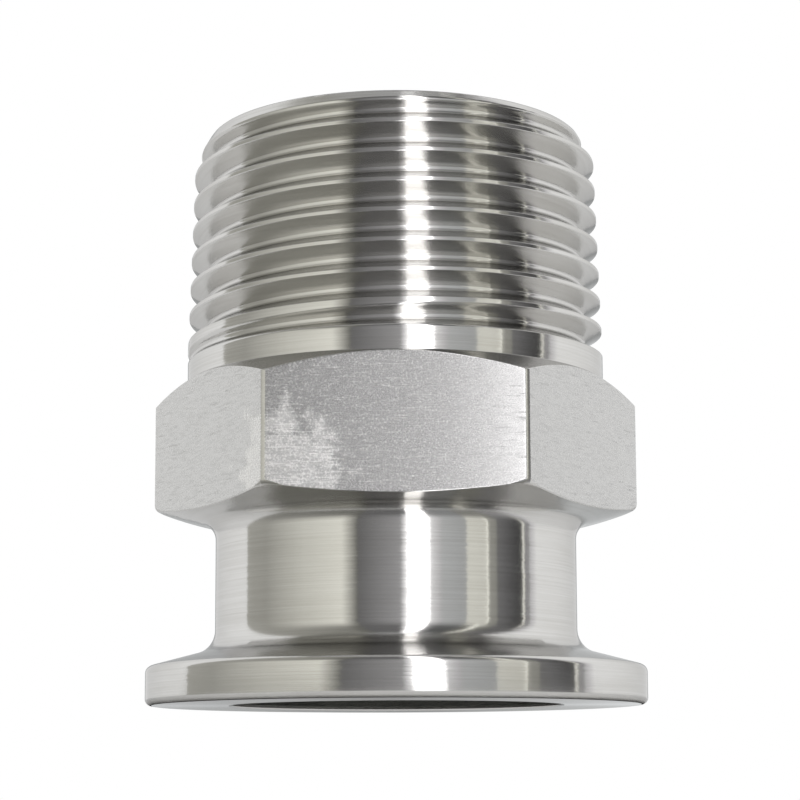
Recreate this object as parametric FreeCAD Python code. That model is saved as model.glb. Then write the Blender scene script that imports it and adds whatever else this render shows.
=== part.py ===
import FreeCAD, Part
import math
import os

# Vacuum flange adapter, turned from one stainless bar. A small clamp flange is at the foot, a neck and
# a hexagon stand on it, and an outside taper pipe thread is at the top.
# Millimetres and degrees. The origin is the centre of the sealing face, and +Z runs up through the thread.
# Azimuth is 0 at -Y and grows towards +X, which is anticlockwise seen from above.

# Flange
FLANGE_DIAMETER = 40.0
RIM_HEIGHT = 3.0
RIM_LOWER_ROUND = 0.5
RIM_UPPER_ROUND = 0.6
BACK_TAPER = 15.0

# Recess for the centring ring, and the bore above it
RECESS_DIAMETER = 26.2
RECESS_DEPTH = 3.0
RECESS_MOUTH_CHAMFER = 0.3
BORE_DIAMETER = 24.0
BORE_END_CHAMFER = 0.5

# Neck
NECK_DIAMETER = 29.0
NECK_LOWER_FILLET = 2.0
NECK_UPPER_FILLET = 1.5

# Hexagon, milled on a turned band whose underside and top are cones
ACROSS_FLATS = 34.0
BAND_DIAMETER = 39.0
BAND_LOWER_EDGE = 15.7
BAND_LOWER_ROUND = 0.6
BAND_LENGTH = 8.5
UNDERSIDE_ANGLE = 15.0
TOP_ANGLE = 30.0

# Plain collar between the hexagon and the thread, and the height of the free end
COLLAR_DIAMETER = 33.7
OVERALL_HEIGHT = 46.0
END_DIAMETER = 30.4
LEAD_IN_ANGLE = 30.0

# Taper pipe thread of one inch: 11 turns to the inch, 1 in 16 on the diameter, 55 degrees between flanks.
# Crests are narrow turned flats, and roots are wider ones. The groove's root line is given, not the crest.
PITCH = 25.4 / 11
TAPER = 1 / 16
GAUGE_DIAMETER = 33.249
GAUGE_LENGTH = 10.39
HALF_FLANK_ANGLE = 27.5
CREST_PER_PITCH = 0.13
ROOT_PER_PITCH = 0.2
FULL_THREAD_LENGTH = 17.24
FULL_THREAD_AZIMUTH = 60.0
RUN_OUT_TURN = 200.0

# How the groove's cutter is made: what it stands proud of the crests, and its lines' steps round the axis
CUTTER_PROUD = 0.2
SPAN_TURN = 120.0
STEPS_PER_SPAN = 12

flange_radius = FLANGE_DIAMETER / 2
recess_radius = RECESS_DIAMETER / 2
bore_radius = BORE_DIAMETER / 2
neck_radius = NECK_DIAMETER / 2
band_radius = BAND_DIAMETER / 2
band_upper_edge = BAND_LOWER_EDGE + BAND_LENGTH
collar_radius = COLLAR_DIAMETER / 2
end_radius = END_DIAMETER / 2
gauge_radius = GAUGE_DIAMETER / 2
gauge_height = OVERALL_HEIGHT - GAUGE_LENGTH
radius_per_height = TAPER / 2


def slope(angle):
    return math.tan(math.radians(angle))


def crest_radius(z):
    """The thread's crest radius at a height. It is the gauge radius at the gauge plane and less above it."""
    return gauge_radius + (gauge_height - z) * radius_per_height


# The groove's section: its depth, and half its width at the root
thread_depth = PITCH * (1 - CREST_PER_PITCH - ROOT_PER_PITCH) / 2 / slope(HALF_FLANK_ANGLE)
half_root = PITCH * ROOT_PER_PITCH / 2


def outline(corners):
    """Closed outline from corners (radius, height, rounding), with a tangent arc at each rounded corner."""
    points = [FreeCAD.Vector(radius, 0, height) for radius, height, _ in corners]
    edges = []
    spans = []
    for i, (_, _, rounding) in enumerate(corners):
        here = points[i]
        if rounding == 0:
            spans.append((here, here))
            continue
        back = (points[i - 1] - here).normalize()
        ahead = (points[(i + 1) % len(points)] - here).normalize()
        half = back.getAngle(ahead) / 2
        start = here + back * (rounding / math.tan(half))
        end = here + ahead * (rounding / math.tan(half))
        middle = here + (back + ahead).normalize() * (rounding / math.sin(half) - rounding)
        edges.append(Part.Arc(start, middle, end).toShape())
        spans.append((start, end))
    for i, (_, leaving) in enumerate(spans):
        arriving = spans[(i + 1) % len(spans)][0]
        edges.append(Part.LineSegment(leaving, arriving).toShape())
    return Part.Wire(Part.__sortEdges__(edges))


def turned_blank():
    """The turned form with its bore, before the hexagon is milled and the thread is cut."""
    taper_foot = RIM_HEIGHT + (flange_radius - neck_radius) * slope(BACK_TAPER)
    underside_foot = BAND_LOWER_EDGE - (band_radius - neck_radius) * slope(UNDERSIDE_ANGLE)
    collar_foot = band_upper_edge + (band_radius - collar_radius) * slope(TOP_ANGLE)
    collar_top = gauge_height - (collar_radius - gauge_radius) / radius_per_height
    lead_in_drop = crest_radius(OVERALL_HEIGHT) - end_radius
    lead_in_foot = OVERALL_HEIGHT - lead_in_drop / (slope(LEAD_IN_ANGLE) - radius_per_height)
    corners = [
        (recess_radius + RECESS_MOUTH_CHAMFER, 0, 0),
        (flange_radius, 0, RIM_LOWER_ROUND),
        (flange_radius, RIM_HEIGHT, RIM_UPPER_ROUND),
        (neck_radius, taper_foot, NECK_LOWER_FILLET),
        (neck_radius, underside_foot, NECK_UPPER_FILLET),
        (band_radius, BAND_LOWER_EDGE, BAND_LOWER_ROUND),
        (band_radius, band_upper_edge, 0),
        (collar_radius, collar_foot, 0),
        (collar_radius, collar_top, 0),
        (crest_radius(lead_in_foot), lead_in_foot, 0),
        (end_radius, OVERALL_HEIGHT, 0),
        (bore_radius + BORE_END_CHAMFER, OVERALL_HEIGHT, 0),
        (bore_radius, OVERALL_HEIGHT - BORE_END_CHAMFER, 0),
        (bore_radius, RECESS_DEPTH, 0),
        (recess_radius, RECESS_DEPTH, 0),
        (recess_radius, RECESS_MOUTH_CHAMFER, 0),
    ]
    section = Part.Face(outline(corners))
    return section.revolve(FreeCAD.Vector(0, 0, 0), FreeCAD.Vector(0, 0, 1), 360)


def milled_away():
    """What the mill takes off the band: a ring with a hexagonal hole, one flat of which faces -Y."""
    foot = (RIM_HEIGHT + BAND_LOWER_EDGE) / 2
    top = band_upper_edge + (band_radius - collar_radius)
    corner_radius = ACROSS_FLATS / 2 / math.cos(math.radians(30))
    corners = []
    for k in range(7):
        angle = math.radians(60 * k)
        corners.append(FreeCAD.Vector(corner_radius * math.cos(angle), corner_radius * math.sin(angle), foot))
    hexagon = Part.Face(Part.makePolygon(corners)).extrude(FreeCAD.Vector(0, 0, top - foot))
    ring = Part.makeCylinder(2 * band_radius, top - foot, FreeCAD.Vector(0, 0, foot))
    return ring.cut(hexagon)


def groove_point(azimuth, out, up):
    """A point beside the groove's root line: out from the root, and up from the line.

    The root follows the taper, and over the last turn of the groove it is drawn out of the metal evenly.
    """
    past_full = azimuth - FULL_THREAD_AZIMUTH
    z = OVERALL_HEIGHT - FULL_THREAD_LENGTH + PITCH * past_full / 360
    drawn_out = max(0, -past_full) / RUN_OUT_TURN * (thread_depth + CUTTER_PROUD)
    radius = crest_radius(z) - thread_depth + drawn_out + out
    angle = math.radians(azimuth - 90)
    return FreeCAD.Vector(radius * math.cos(angle), radius * math.sin(angle), z + up)


def thread_groove():
    """The helical cutter of the groove, from past the free end down to where it has left the metal."""
    out = thread_depth + CUTTER_PROUD
    half_mouth = half_root + out * slope(HALF_FLANK_ANGLE)
    section = [(out, half_mouth), (0, half_root), (0, -half_root), (out, -half_mouth)]
    first = FULL_THREAD_AZIMUTH - RUN_OUT_TURN
    last = FULL_THREAD_AZIMUTH + 360 * (FULL_THREAD_LENGTH / PITCH + 1)
    run_out_spans = math.ceil(RUN_OUT_TURN / SPAN_TURN)
    full_spans = math.ceil((last - FULL_THREAD_AZIMUTH) / SPAN_TURN)
    marks = [first + RUN_OUT_TURN * i / run_out_spans for i in range(run_out_spans)]
    marks += [FULL_THREAD_AZIMUTH + (last - FULL_THREAD_AZIMUTH) * i / full_spans for i in range(full_spans + 1)]
    faces = []
    for start, end in zip(marks, marks[1:]):
        lines = []
        for out_from_root, up in section:
            azimuths = [start + (end - start) * i / STEPS_PER_SPAN for i in range(STEPS_PER_SPAN + 1)]
            line = Part.BSplineCurve()
            line.interpolate([groove_point(azimuth, out_from_root, up) for azimuth in azimuths])
            lines.append(line.toShape())
        for line, next_line in zip(lines, lines[1:] + lines[:1]):
            faces.append(Part.makeRuledSurface(line, next_line))
    for azimuth in (first, last):
        rim = [groove_point(azimuth, out_from_root, up) for out_from_root, up in section]
        faces.append(Part.Face(Part.makePolygon(rim + rim[:1])))
    shell = Part.makeShell(faces)
    shell.sewShape()
    cutter = Part.makeSolid(shell)
    if cutter.Volume < 0:
        cutter.reverse()
    return cutter


def adapter_body():
    milled = turned_blank().cut(milled_away())
    return milled.cut(thread_groove()).Solids[0]


os.makedirs("parts", exist_ok=True)
adapter_body().exportStep("parts/adapter_body.step")
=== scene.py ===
import math

import bpy
import numpy as np
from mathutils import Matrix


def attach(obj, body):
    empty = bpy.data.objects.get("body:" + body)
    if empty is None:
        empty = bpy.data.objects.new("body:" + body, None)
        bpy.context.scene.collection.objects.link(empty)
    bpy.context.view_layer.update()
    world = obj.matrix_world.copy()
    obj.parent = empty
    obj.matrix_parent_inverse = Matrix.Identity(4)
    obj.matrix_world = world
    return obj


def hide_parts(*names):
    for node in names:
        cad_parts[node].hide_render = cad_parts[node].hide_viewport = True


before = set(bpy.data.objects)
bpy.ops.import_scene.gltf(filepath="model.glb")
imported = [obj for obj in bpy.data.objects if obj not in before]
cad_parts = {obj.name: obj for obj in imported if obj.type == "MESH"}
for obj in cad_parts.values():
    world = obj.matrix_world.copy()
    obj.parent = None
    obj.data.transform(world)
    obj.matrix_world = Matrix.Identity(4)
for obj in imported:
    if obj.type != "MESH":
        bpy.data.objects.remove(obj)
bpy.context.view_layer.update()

# The adapter's sizes, in millimetres and degrees as in the part's source.
# Azimuth is 0 at -Y and grows towards +X.
FLANGE_RADIUS = 20.0
RIM_HEIGHT = 3.0
RIM_LOWER_ROUND = 0.5
RIM_UPPER_ROUND = 0.6
BACK_TAPER = 15.0
RECESS_RADIUS = 13.1
RECESS_DEPTH = 3.0
RECESS_MOUTH_CHAMFER = 0.3
BORE_RADIUS = 12.0
BORE_END_CHAMFER = 0.5
NECK_RADIUS = 14.5
NECK_LOWER_FILLET = 2.0
NECK_UPPER_FILLET = 1.5
ACROSS_FLATS = 34.0
BAND_RADIUS = 19.5
BAND_LOWER_EDGE = 15.7
BAND_UPPER_EDGE = 24.2
BAND_LOWER_ROUND = 0.6
UNDERSIDE_ANGLE = 15.0
TOP_ANGLE = 30.0
COLLAR_RADIUS = 16.85
OVERALL_HEIGHT = 46.0
END_RADIUS = 15.2
LEAD_IN_ANGLE = 30.0
PITCH = 25.4 / 11
RADIUS_PER_HEIGHT = 1 / 32
GAUGE_RADIUS = 33.249 / 2
GAUGE_HEIGHT = OVERALL_HEIGHT - 10.39
HALF_FLANK_ANGLE = 27.5
CREST_HALF = 0.065 * PITCH
ROOT_HALF = 0.1 * PITCH
FULL_THREAD_LENGTH = 17.24
FULL_THREAD_AZIMUTH = 60.0
RUN_OUT_TURN = 200.0
CUTTER_PROUD = 0.2

# What the part's source doesn't have, in millimetres: the crown of each flat from its middle to its ends,
# and slightly broken edges
FLAT_CROWN = 0.08
CREST_ROUNDING = 0.03
ROOT_ROUNDING = 0.3
LEAD_IN_ROUNDING = 0.1
STRIP_ROUNDING = 0.05
FLAT_LOWER_ROUND = 0.12
FLAT_UPPER_ROUND = 0.15
BORE_EDGE_ROUND = 0.1
CHAMFER_EDGE_ROUND = 0.05
END_EDGE_DROP = 0.06
END_EDGE_INSET = 0.07

# The mesh: columns round the axis, closer together at the hexagon's corners, then the last ring's height on
# the collar, and the thread's rows, as fractions of the pitch from a crest's middle on
COLUMNS = 264
CORNER_OFFSETS = (0.42, 0.62, 0.8, 1.1, 1.6)
CORNER_MARGIN = 0.4
FIRST_AZIMUTH = FULL_THREAD_AZIMUTH - RUN_OUT_TURN
COLLAR_RING_HEIGHT = 0.5
HALF_PITCH_ROWS = (0, 0.035, 0.05, 0.065, 0.08, 0.1, 0.17, 0.24, 0.31, 0.365, 0.385, 0.405, 0.425, 0.46)
ROW_MARGIN = 0.005
MM = 0.001

# Which faces take the ground finish, and the bored finish with painted shade, in millimetres: heights between
# which all flats lie, and how near to a flat, or how far past the recess, a face may be
FLATS_LOWEST = BAND_LOWER_EDGE - 1
FLATS_HIGHEST = BAND_UPPER_EDGE + 2
FINISH_TOLERANCE = 0.02

# The fine relief of the finishes, and the pale patch on the front flat with its middle, where it is full,
# where it has ended and how ragged it is, all in metres
RELIEF_DEPTH = 0.00002
PATCH_CENTRE = (-0.0085, -0.017, 0.0165)
PATCH_FULL = 0.0086
PATCH_END = 0.0103
PATCH_RAGGEDNESS = 0.01


def slope(angle):
    """Rise over run of an angle in degrees."""
    return math.tan(math.radians(angle))


THREAD_DEPTH = (PITCH / 2 - CREST_HALF - ROOT_HALF) / slope(HALF_FLANK_ANGLE)


def column_azimuths():
    """Azimuths of the mesh's columns over one turn, from where the thread's run-out ends."""
    corners = [30 + 60 * k for k in range(-3, 4)]
    azimuths = []
    for i in range(COLUMNS):
        azimuth = FIRST_AZIMUTH + 360 * i / COLUMNS
        nearest = min(abs(azimuth - corner) for corner in corners)
        if nearest > CORNER_OFFSETS[-1] + CORNER_MARGIN:
            azimuths.append(azimuth)
    for corner in corners:
        for offset in CORNER_OFFSETS:
            azimuths += [corner - offset, corner + offset]
    return sorted(a for a in set(azimuths) if FIRST_AZIMUTH <= a < FIRST_AZIMUTH + 360)


def smooth_min(a, b, width):
    """The smaller of two values, rounded off where they come within a width of each other."""
    near = np.maximum(width - np.abs(a - b), 0) / width
    return np.minimum(a, b) - near * near * width / 4


def flat_radius(azimuth):
    """Radius of the hexagon's flats, which their grinding leaves slightly crowned."""
    from_middle = math.radians((azimuth + 30) % 60 - 30)
    along = abs(math.tan(from_middle)) / math.tan(math.radians(30))
    out = ACROSS_FLATS / 2 + FLAT_CROWN * (0.5 - along ** 3)
    return out / math.cos(from_middle)


def hexagon_radius(azimuth):
    """Radius of the milled band: a flat, or the turned strip left at a corner."""
    return float(smooth_min(flat_radius(azimuth), BAND_RADIUS, STRIP_ROUNDING))


def rounded_outline(corners):
    """Points (radius, height) of an open outline, from corners (radius, height, rounding, steps).

    A corner with steps becomes an arc, and one without stays a point, as the two ends are.
    """
    points = []
    for i, (radius, height, rounding, steps) in enumerate(corners):
        here = np.array([radius, height])
        if steps == 0:
            points.append(here)
            continue
        back = np.array(corners[i - 1][:2]) - here
        ahead = np.array(corners[i + 1][:2]) - here
        back /= np.linalg.norm(back)
        ahead /= np.linalg.norm(ahead)
        half = math.acos(float(np.clip(back @ ahead, -1, 1))) / 2
        middle = (back + ahead) / np.linalg.norm(back + ahead)
        centre = here + middle * rounding / math.sin(half)
        across = (back - ahead) / np.linalg.norm(back - ahead)
        for k in range(steps + 1):
            turn = (math.pi / 2 - half) * (1 - 2 * k / steps)
            points.append(centre + rounding * (across * math.sin(turn) - middle * math.cos(turn)))
    return points


def lower_outline(azimuth):
    """The outline at one azimuth, from the bore's free end down, round the flange and up to the collar."""
    hexagon = hexagon_radius(azimuth)
    taper_foot = RIM_HEIGHT + (FLANGE_RADIUS - NECK_RADIUS) * slope(BACK_TAPER)
    underside_foot = BAND_LOWER_EDGE - (BAND_RADIUS - NECK_RADIUS) * slope(UNDERSIDE_ANGLE)
    underside_edge = BAND_LOWER_EDGE - (BAND_RADIUS - hexagon) * slope(UNDERSIDE_ANGLE)
    top_edge = BAND_UPPER_EDGE + (BAND_RADIUS - hexagon) * slope(TOP_ANGLE)
    collar_foot = BAND_UPPER_EDGE + (BAND_RADIUS - COLLAR_RADIUS) * slope(TOP_ANGLE)
    near_strip = max(0, 1 - (BAND_RADIUS - hexagon) / BAND_LOWER_ROUND)
    lower_round = FLAT_LOWER_ROUND + (BAND_LOWER_ROUND - FLAT_LOWER_ROUND) * near_strip
    return rounded_outline([
        (BORE_RADIUS + BORE_END_CHAMFER, OVERALL_HEIGHT, 0, 0),
        (BORE_RADIUS, OVERALL_HEIGHT - BORE_END_CHAMFER, BORE_EDGE_ROUND, 1),
        (BORE_RADIUS, RECESS_DEPTH, BORE_EDGE_ROUND, 1),
        (RECESS_RADIUS, RECESS_DEPTH, BORE_EDGE_ROUND, 1),
        (RECESS_RADIUS, RECESS_MOUTH_CHAMFER, CHAMFER_EDGE_ROUND, 1),
        (RECESS_RADIUS + RECESS_MOUTH_CHAMFER, 0, CHAMFER_EDGE_ROUND, 1),
        (FLANGE_RADIUS, 0, RIM_LOWER_ROUND, 6),
        (FLANGE_RADIUS, RIM_HEIGHT, RIM_UPPER_ROUND, 8),
        (NECK_RADIUS, taper_foot, NECK_LOWER_FILLET, 10),
        (NECK_RADIUS, underside_foot, NECK_UPPER_FILLET, 10),
        (hexagon, underside_edge, lower_round, 5),
        (hexagon, top_edge, FLAT_UPPER_ROUND, 4),
        (COLLAR_RADIUS, collar_foot, CHAMFER_EDGE_ROUND, 1),
        (COLLAR_RADIUS, collar_foot + COLLAR_RING_HEIGHT, 0, 0),
    ])


def crest_radius(z):
    """The thread's crest radius at a height, which gets smaller towards the free end."""
    return GAUGE_RADIUS + (GAUGE_HEIGHT - z) * RADIUS_PER_HEIGHT


def root_height(azimuth):
    """Height of the middle of the groove's first root at an azimuth."""
    return OVERALL_HEIGHT - FULL_THREAD_LENGTH + PITCH * (azimuth - FULL_THREAD_AZIMUTH) / 360


def thread_height_over_root(from_root):
    """Height of the thread over its root, at a distance along the axis from the root's middle."""
    flank = (from_root - ROOT_HALF) / slope(HALF_FLANK_ANGLE)
    height = smooth_min(flank, THREAD_DEPTH, CREST_ROUNDING)
    return -float(smooth_min(-height, 0, ROOT_ROUNDING))


def thread_radius(azimuth, z):
    """Radius of the threaded length at an azimuth and height, with the run-out of its first turn."""
    crest = crest_radius(z)
    turns = (z - root_height(azimuth)) / PITCH
    nearest = max(0, round(turns))
    from_root = min(abs(turns - nearest) * PITCH, PITCH / 2)
    past = FULL_THREAD_AZIMUTH - azimuth if nearest == 0 else 0
    drawn_out = max(0, past) / RUN_OUT_TURN * (THREAD_DEPTH + CUTTER_PROUD)
    groove = crest - THREAD_DEPTH + thread_height_over_root(from_root) + drawn_out
    cone = END_RADIUS + (OVERALL_HEIGHT - z) * slope(LEAD_IN_ANGLE)
    return float(smooth_min(min(COLLAR_RADIUS, crest, groove), cone, LEAD_IN_ROUNDING))


def row_offsets():
    """Offsets along the axis of one pitch's rows from a root's middle, from a crest's middle to the next."""
    marks = list(HALF_PITCH_ROWS) + [0.5] + [1 - mark for mark in HALF_PITCH_ROWS[:0:-1]]
    return [PITCH * (mark - 0.5) for mark in marks]


def adapter_mesh():
    """One closed mesh: rings for the turned and milled part, and rows along the helix for the thread."""
    azimuths = column_azimuths()
    count = len(azimuths)
    vertices = []
    faces = []

    def point(azimuth, radius, z):
        angle = math.radians(azimuth)
        vertices.append((radius * math.sin(angle) * MM, -radius * math.cos(angle) * MM, z * MM))
        return len(vertices) - 1

    def add_face(corners):
        kept = [v for i, v in enumerate(corners) if v != corners[i - 1]]
        if len(set(kept)) > 2:
            faces.append(kept)

    outlines = [lower_outline(azimuth) for azimuth in azimuths]
    rings = []
    for k in range(len(outlines[0])):
        rings.append([point(azimuths[j], *outlines[j][k]) for j in range(count)])
    for ring, next_ring in zip(rings, rings[1:]):
        for j in range(count):
            ahead = (j + 1) % count
            add_face([ring[j], ring[ahead], next_ring[ahead], next_ring[j]])

    # The thread's rows climb by one pitch a turn, so the last column joins the first one a pitch higher.
    # Points that would pass the free end's edge, or come nearer to it than the margin, are put on it.
    offsets = row_offsets()
    per_pitch = len(offsets)
    clip = OVERALL_HEIGHT - END_EDGE_DROP
    row_count = math.ceil((OVERALL_HEIGHT - root_height(FIRST_AZIMUTH)) / PITCH + 1) * per_pitch
    last = [point(azimuth, thread_radius(azimuth, clip), clip) for azimuth in azimuths]
    rows = []
    for i in range(row_count + per_pitch):
        row = []
        for j, azimuth in enumerate(azimuths):
            z = root_height(azimuth) + PITCH * (i // per_pitch) + offsets[i % per_pitch]
            row.append(point(azimuth, thread_radius(azimuth, z), z) if z < clip - ROW_MARGIN else last[j])
        rows.append(row)
    for i in range(row_count - 1):
        for j in range(count - 1):
            add_face([rows[i][j], rows[i][j + 1], rows[i + 1][j + 1], rows[i + 1][j]])
        add_face([rows[i][-1], rows[i + per_pitch][0], rows[i + 1 + per_pitch][0], rows[i + 1][-1]])

    foot = rings[-1]
    for j in range(count - 1):
        add_face([foot[j], foot[j + 1], rows[0][j + 1], rows[0][j]])
    seam = [rows[i][0] for i in range(per_pitch + 1)]
    add_face([foot[-1], foot[0]] + seam + [rows[0][-1]])

    edge = []
    for azimuth in azimuths:
        edge.append(point(azimuth, thread_radius(azimuth, clip) - END_EDGE_INSET, OVERALL_HEIGHT))
    for j in range(count):
        ahead = (j + 1) % count
        add_face([last[j], last[ahead], edge[ahead], edge[j]])
        add_face([edge[j], edge[ahead], rings[0][ahead], rings[0][j]])

    mesh = bpy.data.meshes.new("adapter_skin")
    mesh.from_pydata(vertices, [], faces)
    mesh.validate()
    mesh.update()
    return mesh


def finish_normals(mesh):
    """Turns the faces outwards and gives each point the area-weighted normal of its faces."""
    count = len(mesh.polygons)
    normals = np.zeros(count * 3)
    areas = np.zeros(count)
    centres = np.zeros(count * 3)
    mesh.polygons.foreach_get("normal", normals)
    mesh.polygons.foreach_get("area", areas)
    mesh.polygons.foreach_get("center", centres)
    volume = (normals.reshape(-1, 3) * centres.reshape(-1, 3)).sum(1) @ areas
    if volume < 0:
        mesh.flip_normals()
        mesh.polygons.foreach_get("normal", normals)
    weighted = normals.reshape(-1, 3) * areas[:, None]
    sums = np.zeros((len(mesh.vertices), 3))
    for polygon in mesh.polygons:
        sums[list(polygon.vertices)] += weighted[polygon.index]
    lengths = np.linalg.norm(sums, axis=1)
    lengths[lengths == 0] = 1
    mesh.polygons.foreach_set("use_smooth", np.ones(count, bool))
    mesh.normals_split_custom_set_from_vertices((sums / lengths[:, None]).tolist())


def node(tree, kind, inputs=None, **settings):
    """A new shader node with its settings, and with each input linked to a socket or set to a value."""
    made = tree.nodes.new(kind)
    for name, value in settings.items():
        setattr(made, name, value)
    for name, value in (inputs or {}).items():
        if isinstance(value, bpy.types.NodeSocket):
            tree.links.new(value, made.inputs[name])
        else:
            made.inputs[name].default_value = value
    return made


def new_material(name):
    """An empty material, its node tree and its output node."""
    material = bpy.data.materials.new(name)
    material.use_nodes = True
    tree = material.node_tree
    tree.nodes.clear()
    output = node(tree, "ShaderNodeOutputMaterial")
    return material, tree, output


def noise(tree, place, scale, detail, roughness=0.5, tilt=0):
    """Noise over a place, at a scale for each axis, with its grain tilted about Y by an angle."""
    stretched = node(tree, "ShaderNodeMapping", {
        "Vector": place, "Rotation": (0, math.radians(tilt), 0), "Scale": scale,
    }).outputs["Vector"]
    inputs = {"Vector": stretched, "Scale": 1.0, "Detail": detail, "Roughness": roughness}
    return node(tree, "ShaderNodeTexNoise", inputs).outputs["Fac"]


def spread(tree, value, low=0.0, high=1.0, least=0.0, most=1.0):
    """The value from low to high spread over least to most."""
    inputs = {"Value": value, "From Min": low, "From Max": high, "To Min": least, "To Max": most}
    return node(tree, "ShaderNodeMapRange", inputs).outputs["Result"]


def total(tree, first, second):
    """The sum of two values, held between 0 and 1."""
    made = node(tree, "ShaderNodeMath", {0: first, 1: second}, operation="ADD", use_clamp=True)
    return made.outputs["Value"]


def either(tree, first, second):
    """The larger of two values, so 1 where either is 1."""
    return node(tree, "ShaderNodeMath", {0: first, 1: second}, operation="MAXIMUM").outputs["Value"]


def blend(tree, share, dark, pale):
    """A colour between a dark and a pale one."""
    inputs = {"Factor": share, "A": dark, "B": pale}
    return node(tree, "ShaderNodeMix", inputs, data_type="RGBA").outputs["Result"]


def relief(tree, height, strength):
    """The normal of a surface with a very fine relief."""
    inputs = {"Height": height, "Strength": strength, "Distance": RELIEF_DEPTH}
    return node(tree, "ShaderNodeBump", inputs).outputs["Normal"]


def turned_steel():
    """Bright turned stainless: fine marks run round the axis, so highlights spread along it."""
    material, tree, output = new_material("turned_stainless")
    place = node(tree, "ShaderNodeTexCoord").outputs["Object"]
    marks = noise(tree, place, (60, 60, 9000), detail=3)
    cloud = noise(tree, place, (120, 120, 700), detail=4)
    worn = node(tree, "ShaderNodeMath", {0: cloud, 1: marks}, operation="ADD").outputs["Value"]
    shade = spread(tree, worn, low=0.7, high=1.3)

    # The surface sways a little from side to side, so reflections have streaky edges.
    tangent = node(tree, "ShaderNodeTangent", direction_type="RADIAL", axis="Z").outputs["Tangent"]
    streaks = noise(tree, place, (420, 420, 8000), detail=3, roughness=0.75)
    sway = spread(tree, streaks, least=-0.018, most=0.018)
    aside = node(tree, "ShaderNodeVectorMath", {0: tangent, "Scale": sway}, operation="SCALE")
    inputs = {0: relief(tree, marks, strength=0.12), 1: aside.outputs["Vector"]}
    swayed = node(tree, "ShaderNodeVectorMath", inputs, operation="ADD").outputs["Vector"]
    facing = node(tree, "ShaderNodeVectorMath", {0: swayed}, operation="NORMALIZE").outputs["Vector"]

    steel = node(tree, "ShaderNodeBsdfPrincipled", {
        "Base Color": blend(tree, shade, dark=(0.62, 0.612, 0.59, 1), pale=(0.715, 0.71, 0.695, 1)),
        "Metallic": 1.0,
        "Roughness": spread(tree, cloud, least=0.12, most=0.16),
        "Specular Tint": (0.72, 0.72, 0.72, 1),
        "Anisotropic": 1.0,
        "Anisotropic Rotation": 0.25,
        "Tangent": tangent,
        "Normal": facing,
    })
    tree.links.new(steel.outputs["BSDF"], output.inputs["Surface"])
    return material


def bored_steel_painted_shade():
    """The recess and the bore: a duller bored finish, with its colour painted darker for the shade that falls
    inside them.
    """
    material, tree, output = new_material("bored_stainless_painted_shade")
    place = node(tree, "ShaderNodeTexCoord").outputs["Object"]
    marks = noise(tree, place, (90, 90, 6000), detail=3)
    steel = node(tree, "ShaderNodeBsdfPrincipled", {
        # Painted shade: the darker base colour and the dimmer specular tint stand in for the shade that falls
        # inside the recess and the bore.
        "Base Color": blend(tree, marks, dark=(0.42, 0.425, 0.4, 1), pale=(0.58, 0.58, 0.55, 1)),
        "Metallic": 1.0,
        "Roughness": spread(tree, marks, least=0.14, most=0.24),
        "Specular Tint": (0.5, 0.5, 0.5, 1),
    })
    tree.links.new(steel.outputs["BSDF"], output.inputs["Surface"])
    return material


def pale_patch(tree, place):
    """How far a place lies in the pale patch on the front flat, whose edge is ragged."""
    distance = node(tree, "ShaderNodeVectorMath", {0: place, 1: PATCH_CENTRE}, operation="DISTANCE")
    mottle = noise(tree, place, (650, 650, 650), detail=6)
    inputs = {0: mottle, 1: PATCH_RAGGEDNESS, 2: distance.outputs["Value"]}
    reach = node(tree, "ShaderNodeMath", inputs, operation="MULTIPLY_ADD").outputs["Value"]
    return spread(tree, reach, low=PATCH_END, high=PATCH_FULL)


def ground_steel():
    """The hexagon's flats: ground steel, part mirror and part frosted, with scratches and a pale patch."""
    material, tree, output = new_material("ground_stainless")
    place = node(tree, "ShaderNodeTexCoord").outputs["Object"]
    grain = noise(tree, place, (900, 900, 5500), detail=4)
    scratch = noise(tree, place, (450, 450, 8000), detail=2, tilt=24)
    speck = noise(tree, place, (7500, 7500, 7500), detail=3)
    patch = pale_patch(tree, place)

    frost = total(
        tree,
        spread(tree, grain, low=0.42, high=0.68, least=0.24, most=0.5),
        spread(tree, scratch, low=0.6, high=0.72, most=0.6),
    )
    frost = total(tree, frost, spread(tree, speck, low=0.48, high=0.78, most=0.4))
    frost = total(tree, frost, spread(tree, patch, most=0.3))
    pale = total(tree, spread(tree, patch, most=0.7), spread(tree, speck, low=0.44, high=0.72, most=0.65))

    bump = relief(tree, grain, strength=0.3)
    shiny = node(tree, "ShaderNodeBsdfPrincipled", {
        "Base Color": (0.615, 0.612, 0.602, 1),
        "Metallic": 1.0,
        "Roughness": 0.2,
        "Normal": bump,
    })
    frosted = node(tree, "ShaderNodeBsdfPrincipled", {
        "Base Color": blend(tree, pale, dark=(0.51, 0.509, 0.504, 1), pale=(0.94, 0.935, 0.92, 1)),
        "Metallic": 1.0,
        "Roughness": 0.5,
        "Normal": bump,
    })
    shares = {0: frost, 1: shiny.outputs["BSDF"], 2: frosted.outputs["BSDF"]}
    steel = node(tree, "ShaderNodeMixShader", shares)
    tree.links.new(steel.outputs["Shader"], output.inputs["Surface"])
    return material


def link(name, data):
    """Puts new data in the scene as an object."""
    made = bpy.data.objects.new(name, data)
    bpy.context.scene.collection.objects.link(made)
    return made


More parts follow.
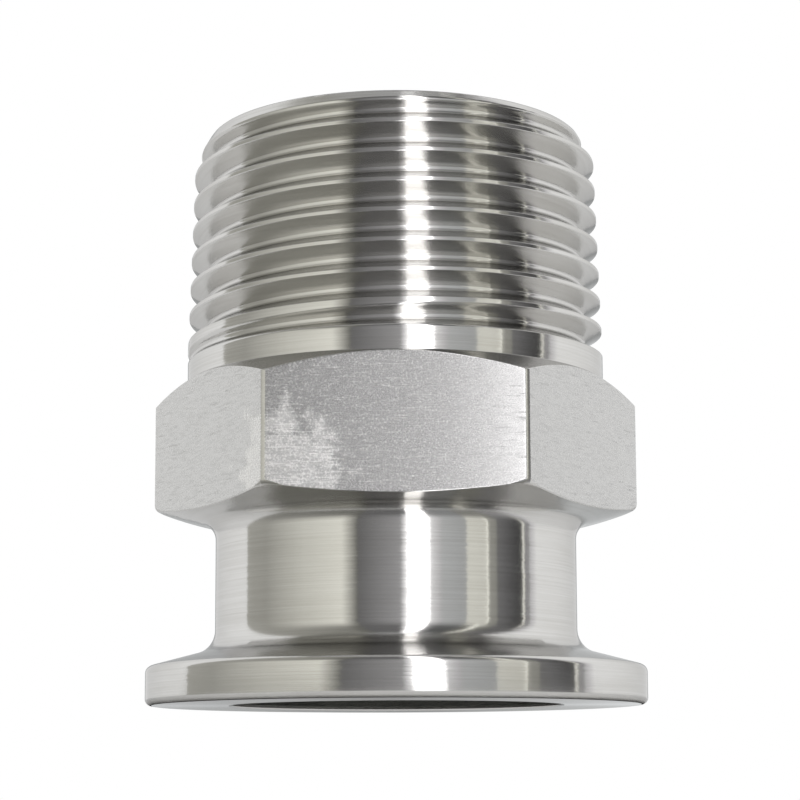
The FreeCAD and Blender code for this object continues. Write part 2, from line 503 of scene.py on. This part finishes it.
def adapter():
    """The adapter's skin in the place of its solid: turned, but ground on the flats, and bored inside with
    painted shade.
    """
    mesh = adapter_mesh()
    finish_normals(mesh)
    for finish in (turned_steel(), ground_steel(), bored_steel_painted_shade()):
        mesh.materials.append(finish)
    turned, ground, bored_and_shaded = range(3)
    for polygon in mesh.polygons:
        x, y, z = polygon.center / MM
        radius = math.hypot(x, y)
        from_flat = abs(radius - flat_radius(math.degrees(math.atan2(x, -y))))
        if from_flat < FINISH_TOLERANCE and FLATS_LOWEST < z < FLATS_HIGHEST:
            polygon.material_index = ground
        # The recess and the bore take the bored finish with its painted shade.
        elif radius < RECESS_RADIUS + FINISH_TOLERANCE:
            polygon.material_index = bored_and_shaded
        else:
            polygon.material_index = turned
    piece = link("adapter_skin", mesh)
    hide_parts("adapter_body")
    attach(piece, "root")


# The floor, in metres: how far out it goes, and how far its disc stays inside the recess's mouth
FLOOR_RADIUS = 1.2
MOUTH_CLEARANCE = 0.0001
FLOOR_SIDES = 96


def floor_white():
    """White from above, and clear from below."""
    material, tree, output = new_material("floor_white")
    white = node(tree, "ShaderNodeBsdfDiffuse", {"Color": (0.9, 0.9, 0.9, 1)}).outputs["BSDF"]
    clear = node(tree, "ShaderNodeBsdfTransparent").outputs["BSDF"]
    below = node(tree, "ShaderNodeNewGeometry").outputs["Backfacing"]
    side = node(tree, "ShaderNodeMixShader", {0: below, 1: white, 2: clear})
    tree.links.new(side.outputs["Shader"], output.inputs["Surface"])
    return material


def floor():
    """Pale floor, which leaves out the flat ring that the flange stands on."""
    inner = (FLANGE_RADIUS - RIM_LOWER_ROUND) * MM
    under_mouth = (RECESS_RADIUS + RECESS_MOUTH_CHAMFER) * MM - MOUTH_CLEARANCE
    vertices = []
    for radius in (inner, FLOOR_RADIUS, under_mouth):
        for k in range(FLOOR_SIDES):
            angle = 2 * math.pi * k / FLOOR_SIDES
            vertices.append((radius * math.cos(angle), radius * math.sin(angle), 0))
    faces = []
    for k in range(FLOOR_SIDES):
        ahead = (k + 1) % FLOOR_SIDES
        faces.append((k, FLOOR_SIDES + k, FLOOR_SIDES + ahead, ahead))
    faces.append(range(2 * FLOOR_SIDES, 3 * FLOOR_SIDES))
    mesh = bpy.data.meshes.new("floor")
    mesh.from_pydata(vertices, [], faces)
    mesh.materials.append(floor_white())
    link("floor", mesh)


# Studio cards round the adapter, which the metal mirrors and the camera doesn't see. Each lies on the table
# from close by the flange, and stands up at its far end. Distances are in metres and elevations in degrees.
# The marks say where a card has its brightness below, level and above, as 0, 1 and 2.
CARD_DISTANCE = 0.6
TABLE_CLEARANCE = 0.0003
TABLE_MARKS = ((0.0225, 0), (0.032, 0), (0.065, 1), (CARD_DISTANCE, 1))
UPRIGHT_MARKS = ((-50, 0), (-12, 0), (-6, 1), (20, 1), (38, 2), (70, 2))
DEGREES_PER_STEP = 3

# Radius of the round mirror that the table parts are lined up for, between the neck's and the rim's
MIRROR_RADIUS = 0.019

# Tints of the cards, and the cards: first azimuth, last azimuth, brightness (below, level, above) at the
# first, the same at the last, and tint
WARM = (1.0, 0.99, 0.91)
NEUTRAL = (0.99, 0.98, 1.0)
COOL = (0.97, 0.99, 1.0)
CARDS = (
    (-106, -88, (0.3, 0.46, 0.4), (0.25, 0.42, 0.4), WARM),
    (-88, -60, (0.25, 0.42, 0.4), (0.22, 0.73, 0.36), WARM),
    (-60, -33, (0.22, 0.73, 0.36), (0.2, 0.99, 0.28), WARM),
    (-33, -23.5, (0.2, 0.95, 0.24), (0.16, 0.18, 0.17), WARM),
    (-23.5, 3, (0.16, 0.18, 0.17), (0.16, 0.42, 0.17), NEUTRAL),
    (3, 7.2, (0.2, 0.48, 0.25), (0.2, 1.6, 1.0), NEUTRAL),
    (7.2, 20.5, (3.0, 3.0, 3.0), (3.0, 3.0, 3.0), NEUTRAL),
    (20.5, 28, (0.28, 1.0, 0.3), (0.28, 0.6, 0.13), NEUTRAL),
    (28, 44, (0.28, 0.6, 0.13), (0.28, 0.48, 0.13), COOL),
    (44, 52, (0.25, 0.85, 0.13), (0.25, 0.8, 0.13), WARM),
    (52, 56, (0.25, 0.8, 1.6), (0.25, 0.78, 1.6), WARM),
    (56, 57, (0.25, 0.78, 0.2), (0.25, 0.76, 0.2), WARM),
    (57, 58.6, (0.25, 1.25, 0.3), (0.25, 1.25, 0.3), WARM),
    (58.6, 66, (0.25, 0.42, 0.22), (0.25, 0.3, 0.2), WARM),
    (66, 85, (0.3, 0.2, 0.18), (0.35, 0.04, 0.15), NEUTRAL),
    (85, 86.6, (0.5, 1.2, 0.2), (0.5, 1.2, 0.2), WARM),
    (86.6, 91, (0.5, 0.3, 0.2), (0.5, 0.34, 0.5), NEUTRAL),
    (91, 97, (0.6, 0.6, 0.8), (0.8, 0.95, 1.0), NEUTRAL),
    (163, 172, (0.45, 0.45, 0.45), (0.8, 0.8, 0.5), COOL),
    (172, 180, (0.8, 0.8, 0.5), (0.36, 0.36, 0.4), COOL),
    (180, 188, (0.36, 0.36, 0.4), (0.65, 0.65, 0.5), COOL),
    (188, 197, (0.65, 0.65, 0.5), (0.45, 0.45, 0.45), COOL),
)

# Level cards, two under the table for the foot and one overhead: name, azimuths, height in metres, brightness
LEVEL_CARDS = (
    ("card_under_front", -52, 56, -0.08, 0.22),
    ("card_under_back", 56, 308, -0.08, 0.75),
    ("card_over", 0, 360, 0.8, 0.5),
)
LEVEL_CARD_RADII = (0.0001, 0.3)
LEVEL_CARD_STEPS = 48


def card_light():
    """Light of the brightness that a card's points carry."""
    material, tree, output = new_material("card_light")
    shade = node(tree, "ShaderNodeAttribute", attribute_name="shade").outputs["Color"]
    glow = node(tree, "ShaderNodeEmission", {"Color": shade, "Strength": 1.0})
    tree.links.new(glow.outputs["Emission"], output.inputs["Surface"])
    return material


def card(name, vertices, faces, shades, material):
    """A piece of the studio that only the metal sees, with a brightness for each point."""
    mesh = bpy.data.meshes.new(name)
    mesh.from_pydata(vertices, [], faces)
    attribute = mesh.attributes.new("shade", "FLOAT_COLOR", "POINT")
    for item, shade in zip(attribute.data, shades):
        item.color = shade
    mesh.materials.append(material)
    made = link(name, mesh)
    made.visible_camera = False
    made.visible_diffuse = False
    made.visible_shadow = False


def lined_up(azimuth, radius):
    """Azimuth, at a radius, that the round mirror shows in line with an azimuth of the upright cards."""
    aside = MIRROR_RADIUS * math.sin(azimuth / 2)
    return azimuth - math.asin(aside / radius) + math.asin(aside / CARD_DISTANCE)


def standing_card(name, first, last, at_first, at_last, tint, material):
    """A card between two azimuths, with a part that lies on the table and one that stands."""
    table = [(radius, TABLE_CLEARANCE, level) for radius, level in TABLE_MARKS]
    upright = [(CARD_DISTANCE, CARD_DISTANCE * slope(elevation), level) for elevation, level in UPRIGHT_MARKS]
    profile = table + upright
    steps = max(2, round((last - first) / DEGREES_PER_STEP))
    vertices = []
    shades = []
    for k in range(steps + 1):
        share = k / steps
        azimuth = math.radians(first + (last - first) * share)
        for radius, height, level in profile:
            angle = lined_up(azimuth, radius)
            shade = at_first[level] + (at_last[level] - at_first[level]) * share
            vertices.append((radius * math.sin(angle), -radius * math.cos(angle), height))
            shades.append([shade * channel for channel in tint] + [1])

    # The part on the table isn't joined to the upright one.
    rows = len(profile)
    strips = [i for i in range(rows - 1) if i != len(table) - 1]
    faces = []
    for k in range(steps):
        for i in strips:
            foot = rows * k + i
            faces.append((foot, foot + rows, foot + rows + 1, foot + 1))
    card(name, vertices, faces, shades, material)


def level_card(name, first, last, height, brightness, material):
    """A level disc, or a sector of one, between two azimuths."""
    vertices = []
    for k in range(LEVEL_CARD_STEPS + 1):
        angle = math.radians(first + (last - first) * k / LEVEL_CARD_STEPS)
        for radius in LEVEL_CARD_RADII:
            vertices.append((radius * math.sin(angle), -radius * math.cos(angle), height))
    faces = [(2 * k, 2 * k + 1, 2 * k + 3, 2 * k + 2) for k in range(LEVEL_CARD_STEPS)]
    shade = (brightness, brightness, brightness, 1)
    card(name, vertices, faces, [shade] * len(vertices), material)


def cards():
    """All cards: those that stand round the adapter, and the level ones."""
    material = card_light()
    for number, (first, last, at_first, at_last, tint) in enumerate(CARDS):
        standing_card(f"card_{number}", first, last, at_first, at_last, tint, material)
    for name, first, last, height, brightness in LEVEL_CARDS:
        level_card(name, first, last, height, brightness, material)


def white_world():
    """White for the camera and for what the metal mirrors, and a plain level of light for the floor."""
    world = bpy.data.worlds.new("studio")
    world.use_nodes = True
    tree = world.node_tree
    tree.nodes.clear()
    rays = node(tree, "ShaderNodeLightPath").outputs
    seen = either(tree, rays["Is Camera Ray"], rays["Is Glossy Ray"])
    white = either(tree, seen, rays["Is Transmission Ray"])
    strength = spread(tree, white, least=0.8, most=1.0)
    sky = node(tree, "ShaderNodeBackground", {"Color": (1, 1, 1, 1), "Strength": strength})
    output = node(tree, "ShaderNodeOutputWorld")
    tree.links.new(sky.outputs["Background"], output.inputs["Surface"])
    bpy.context.scene.world = world


def lamp():
    """A soft lamp above, for the shadow on the floor."""
    data = bpy.data.lights.new("softbox", "AREA")
    data.shape = "DISK"
    data.size = 0.5
    data.energy = 1.5
    made = link("softbox", data)
    made.location = (0.25, -0.2, 0.9)
    made.rotation_euler = (math.radians(-12), math.radians(15), 0)
    made.visible_glossy = False


# Camera, from a fit to the photograph: distance and height in millimetres, angles in degrees, and the focal
# length and the optical axis in pixels of a square picture
CAMERA_DISTANCE = 173.643
CAMERA_HEIGHT = -5.278
CAMERA_PITCH = 7.705
CAMERA_ROLL = 0.203
FOCAL_PIXELS = 2161.75
PICTURE_PIXELS = 800
AXIS_X = 395.7
AXIS_Y = 480.0
SENSOR_WIDTH = 36.0


def camera():
    """The camera at the photograph's viewing angle."""
    data = bpy.data.cameras.new("camera")
    data.sensor_width = SENSOR_WIDTH
    data.lens = FOCAL_PIXELS / PICTURE_PIXELS * SENSOR_WIDTH
    data.shift_x = (PICTURE_PIXELS / 2 - AXIS_X) / PICTURE_PIXELS
    data.shift_y = (AXIS_Y - PICTURE_PIXELS / 2) / PICTURE_PIXELS
    data.clip_start = 0.005
    made = link("camera", data)
    made.location = (0, -CAMERA_DISTANCE * MM, CAMERA_HEIGHT * MM)
    made.rotation_euler = (math.radians(90 + CAMERA_PITCH), 0, 0)
    made.rotation_euler.rotate_axis("Z", math.radians(-CAMERA_ROLL))
    bpy.context.scene.camera = made


adapter()
floor()
cards()
white_world()
lamp()
camera()
bpy.context.scene.view_settings.view_transform = "Standard"
